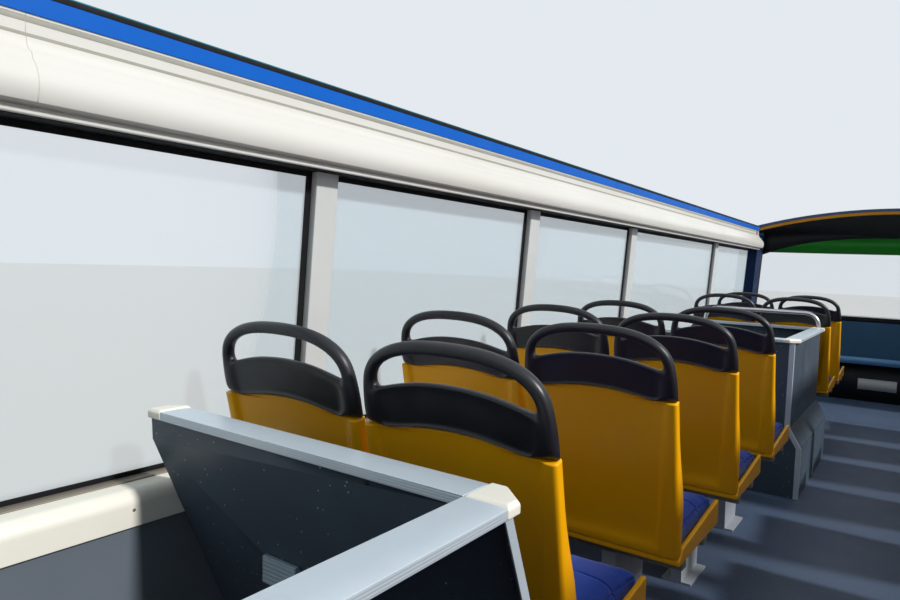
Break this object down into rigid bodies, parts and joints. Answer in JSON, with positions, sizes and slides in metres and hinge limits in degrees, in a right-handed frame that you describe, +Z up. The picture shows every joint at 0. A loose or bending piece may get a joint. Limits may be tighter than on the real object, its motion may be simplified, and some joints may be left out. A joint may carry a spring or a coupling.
{
  "type": "open upper deck of a double-decker bus",
  "caption": "Open-top upper deck of a double-decker bus: floor, glazed sides under a coaming, front canopy, stair enclosures and rows of moulded seats.",
  "frame": {"origin": "centre of the underside of the floor frame, on the plane that the deck stands on", "axes": "+Y forward in the direction of travel along the longest extent, +Z up, +X to the right, so the stair enclosures are on the -X side"},
  "size_m": [2.55, 10.32, 2.01],
  "materials": {
    "deck_covering": "sheet floor covering, fine grit, dark blue-grey",
    "frame_steel": "black anti-corrosion coating",
    "body_paint": "gloss dark blue coach paint",
    "wall_laminate": "grey textured laminate",
    "cream_moulding": "cream-white moulded plastic",
    "pillar_paint": "satin white paint",
    "glazing_rubber": "matt black glazing rubber",
    "window_glass": "clear toughened glass",
    "coaming_white": "gloss off-white paint on a rolled section",
    "band_blue": "gloss bright blue paint",
    "bulkhead_laminate": "dark blue-grey laminate",
    "green_film": "green tinted sun film",
    "amber_stripe": "amber stripe",
    "black_lining": "black moulded lining",
    "blue_fabric": "blue woven upholstery",
    "yellow_shell": "yellow moulded plastic, satin",
    "black_plastic": "black moulded plastic",
    "seat_beam_alu": "extruded aluminium, satin",
    "pedestal_paint": "grey powder coat",
    "panel_laminate": "dark navy-grey speckled laminate",
    "cap_aluminium": "satin anodised aluminium",
    "steel_tube": "brushed stainless tube",
    "lamp_housing": "pale grey-blue moulded lamp housing"
  },
  "bodies": {
    "root": {"floor_boards": "deck_covering", "floor_sills": "frame_steel", "floor_crossmembers": "frame_steel", "well_trimmers": "frame_steel", "side_panels_left": "body_paint", "side_panels_right": "body_paint", "side_linings": "wall_laminate", "rear_lining": "wall_laminate", "waist_ledge_left": "cream_moulding", "waist_ledge_right": "cream_moulding", "rear_ledge": "cream_moulding", "window_pillars": "pillar_paint", "window_seals": "glazing_rubber", "window_panes": "window_glass", "coaming_left": "coaming_white", "coaming_right": "coaming_white", "coaming_rear": "coaming_white", "coaming_bands": "band_blue", "coaming_ends": "coaming_white", "coaming_corners": "coaming_white", "rear_posts": "body_paint", "front_posts": "body_paint", "front_panel": "body_paint", "rear_panel": "body_paint", "front_bulkhead": "bulkhead_laminate", "dash_top": "cream_moulding", "windscreen": "window_glass", "sun_strip": "green_film", "canopy": "body_paint", "canopy_stripe": "amber_stripe", "canopy_lining": "black_lining", "seat_back_pads": "blue_fabric", "seat_shells": "yellow_shell", "seat_tops": "black_plastic", "seat_cushions": "blue_fabric", "seat_pans": "yellow_shell", "seat_beams": "seat_beam_alu", "seat_pedestals": "pedestal_paint", "rear_well_panels": "panel_laminate", "front_well_panels": "panel_laminate", "well_caps": "cap_aluminium", "well_corners": "cream_moulding", "well_trims": "cap_aluminium", "front_well_hoop": "steel_tube", "well_lamp": "lamp_housing"}
  },
  "joints": []
}
